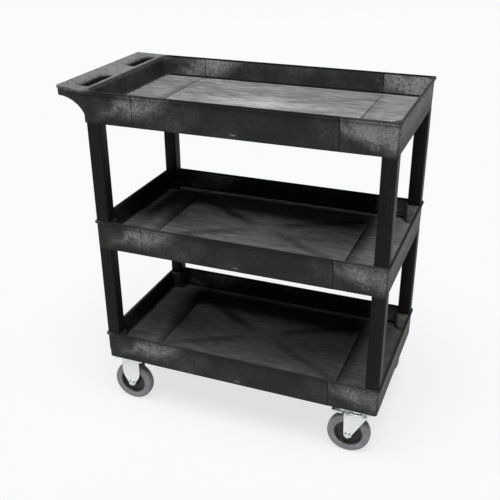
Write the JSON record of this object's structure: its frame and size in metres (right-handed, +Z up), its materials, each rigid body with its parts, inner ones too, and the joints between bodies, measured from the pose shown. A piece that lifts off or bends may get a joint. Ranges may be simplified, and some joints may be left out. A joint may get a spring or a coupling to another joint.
{
  "type": "utility cart",
  "caption": "Three-shelf moulded tub utility cart with a push handle on the top shelf, square plug-in legs, fixed casters under the handle end and braked swivel casters at the far end.",
  "frame": {"origin": "on the floor, under the middle of the overall box", "axes": "+Z up, +X along the cart away from the push handle, -Y the front long side"},
  "size_m": [0.8954, 0.4572, 0.9561],
  "materials": {
    "shelf_plastic": "lightly textured black structural foam",
    "tyre_rubber": "grey non-marking rubber",
    "hub_nylon": "black moulded",
    "zinc_plate": "bright zinc plated pressing",
    "plated_steel": "zinc plated fastener"
  },
  "bodies": {
    "cart": {"top_shelf": "shelf_plastic", "middle_shelf": "shelf_plastic", "bottom_shelf": "shelf_plastic", "lower_leg_front_handle_end": "shelf_plastic", "lower_leg_rear_handle_end": "shelf_plastic", "lower_leg_front_far_end": "shelf_plastic", "lower_leg_rear_far_end": "shelf_plastic", "upper_leg_front_handle_end": "shelf_plastic", "upper_leg_rear_handle_end": "shelf_plastic", "upper_leg_front_far_end": "shelf_plastic", "upper_leg_rear_far_end": "shelf_plastic", "fixed_fork_front_fixed": "zinc_plate", "caster_screw_front_fixed_1": "plated_steel", "caster_screw_front_fixed_2": "plated_steel", "caster_screw_front_fixed_3": "plated_steel", "caster_screw_front_fixed_4": "plated_steel", "axle_sleeve_front_fixed": "plated_steel", "axle_bolt_front_fixed": "plated_steel", "axle_nut_front_fixed": "plated_steel", "caster_plate_front_swivel": "zinc_plate", "caster_screw_front_swivel_1": "plated_steel", "caster_screw_front_swivel_2": "plated_steel", "caster_screw_front_swivel_3": "plated_steel", "caster_screw_front_swivel_4": "plated_steel", "kingpin_front_swivel": "plated_steel", "fixed_fork_rear_fixed": "zinc_plate", "caster_screw_rear_fixed_1": "plated_steel", "caster_screw_rear_fixed_2": "plated_steel", "caster_screw_rear_fixed_3": "plated_steel", "caster_screw_rear_fixed_4": "plated_steel", "axle_sleeve_rear_fixed": "plated_steel", "axle_bolt_rear_fixed": "plated_steel", "axle_nut_rear_fixed": "plated_steel", "caster_plate_rear_swivel": "zinc_plate", "caster_screw_rear_swivel_1": "plated_steel", "caster_screw_rear_swivel_2": "plated_steel", "caster_screw_rear_swivel_3": "plated_steel", "caster_screw_rear_swivel_4": "plated_steel", "kingpin_rear_swivel": "plated_steel"},
    "wheel_front_fixed": {"tyre_front_fixed": "tyre_rubber", "wheel_hub_front_fixed": "hub_nylon"},
    "swivel_front_swivel": {"swivel_fork_front_swivel": "zinc_plate", "ball_bearing_front_swivel": "plated_steel", "axle_sleeve_front_swivel": "plated_steel", "axle_bolt_front_swivel": "plated_steel", "axle_nut_front_swivel": "plated_steel"},
    "brake_front_swivel": {"brake_pedal_front_swivel": "zinc_plate"},
    "wheel_front_swivel": {"tyre_front_swivel": "tyre_rubber", "wheel_hub_front_swivel": "hub_nylon"},
    "wheel_rear_fixed": {"tyre_rear_fixed": "tyre_rubber", "wheel_hub_rear_fixed": "hub_nylon"},
    "swivel_rear_swivel": {"swivel_fork_rear_swivel": "zinc_plate", "ball_bearing_rear_swivel": "plated_steel", "axle_sleeve_rear_swivel": "plated_steel", "axle_bolt_rear_swivel": "plated_steel", "axle_nut_rear_swivel": "plated_steel"},
    "brake_rear_swivel": {"brake_pedal_rear_swivel": "zinc_plate"},
    "wheel_rear_swivel": {"tyre_rear_swivel": "tyre_rubber", "wheel_hub_rear_swivel": "hub_nylon"}
  },
  "joints": [
    {"name": "front_fixed_wheel_spin", "type": "hinge", "parent": "cart", "child": "wheel_front_fixed", "pos_m": [-0.30417, -0.1905, 0.06], "axis": [0, 1, 0], "continuous": true},
    {"name": "rear_fixed_wheel_spin", "type": "hinge", "parent": "cart", "child": "wheel_rear_fixed", "pos_m": [-0.30417, 0.1905, 0.06], "axis": [0, 1, 0], "continuous": true},
    {"name": "front_swivel_turn", "type": "hinge", "parent": "cart", "child": "swivel_front_swivel", "pos_m": [0.38671, -0.1905, 0.131], "axis": [0, 0, 1], "continuous": true},
    {"name": "front_swivel_wheel_spin", "type": "hinge", "parent": "swivel_front_swivel", "child": "wheel_front_swivel", "pos_m": [0.36474, -0.19165, 0.06], "axis": [-0.0523, 0.9986, 0], "continuous": true},
    {"name": "front_swivel_brake_pedal", "type": "hinge", "parent": "swivel_front_swivel", "child": "brake_front_swivel", "pos_m": [0.35775, -0.19202, 0.1238], "axis": [0.0523, -0.9986, 0], "range_deg": [0, 18]},
    {"name": "rear_swivel_turn", "type": "hinge", "parent": "cart", "child": "swivel_rear_swivel", "pos_m": [0.38671, 0.1905, 0.131], "axis": [0, 0, 1], "continuous": true},
    {"name": "rear_swivel_wheel_spin", "type": "hinge", "parent": "swivel_rear_swivel", "child": "wheel_rear_swivel", "pos_m": [0.36474, 0.18935, 0.06], "axis": [-0.0523, 0.9986, 0], "continuous": true},
    {"name": "rear_swivel_brake_pedal", "type": "hinge", "parent": "swivel_rear_swivel", "child": "brake_rear_swivel", "pos_m": [0.35775, 0.18898, 0.1238], "axis": [0.0523, -0.9986, 0], "range_deg": [0, 18]}
  ]
}
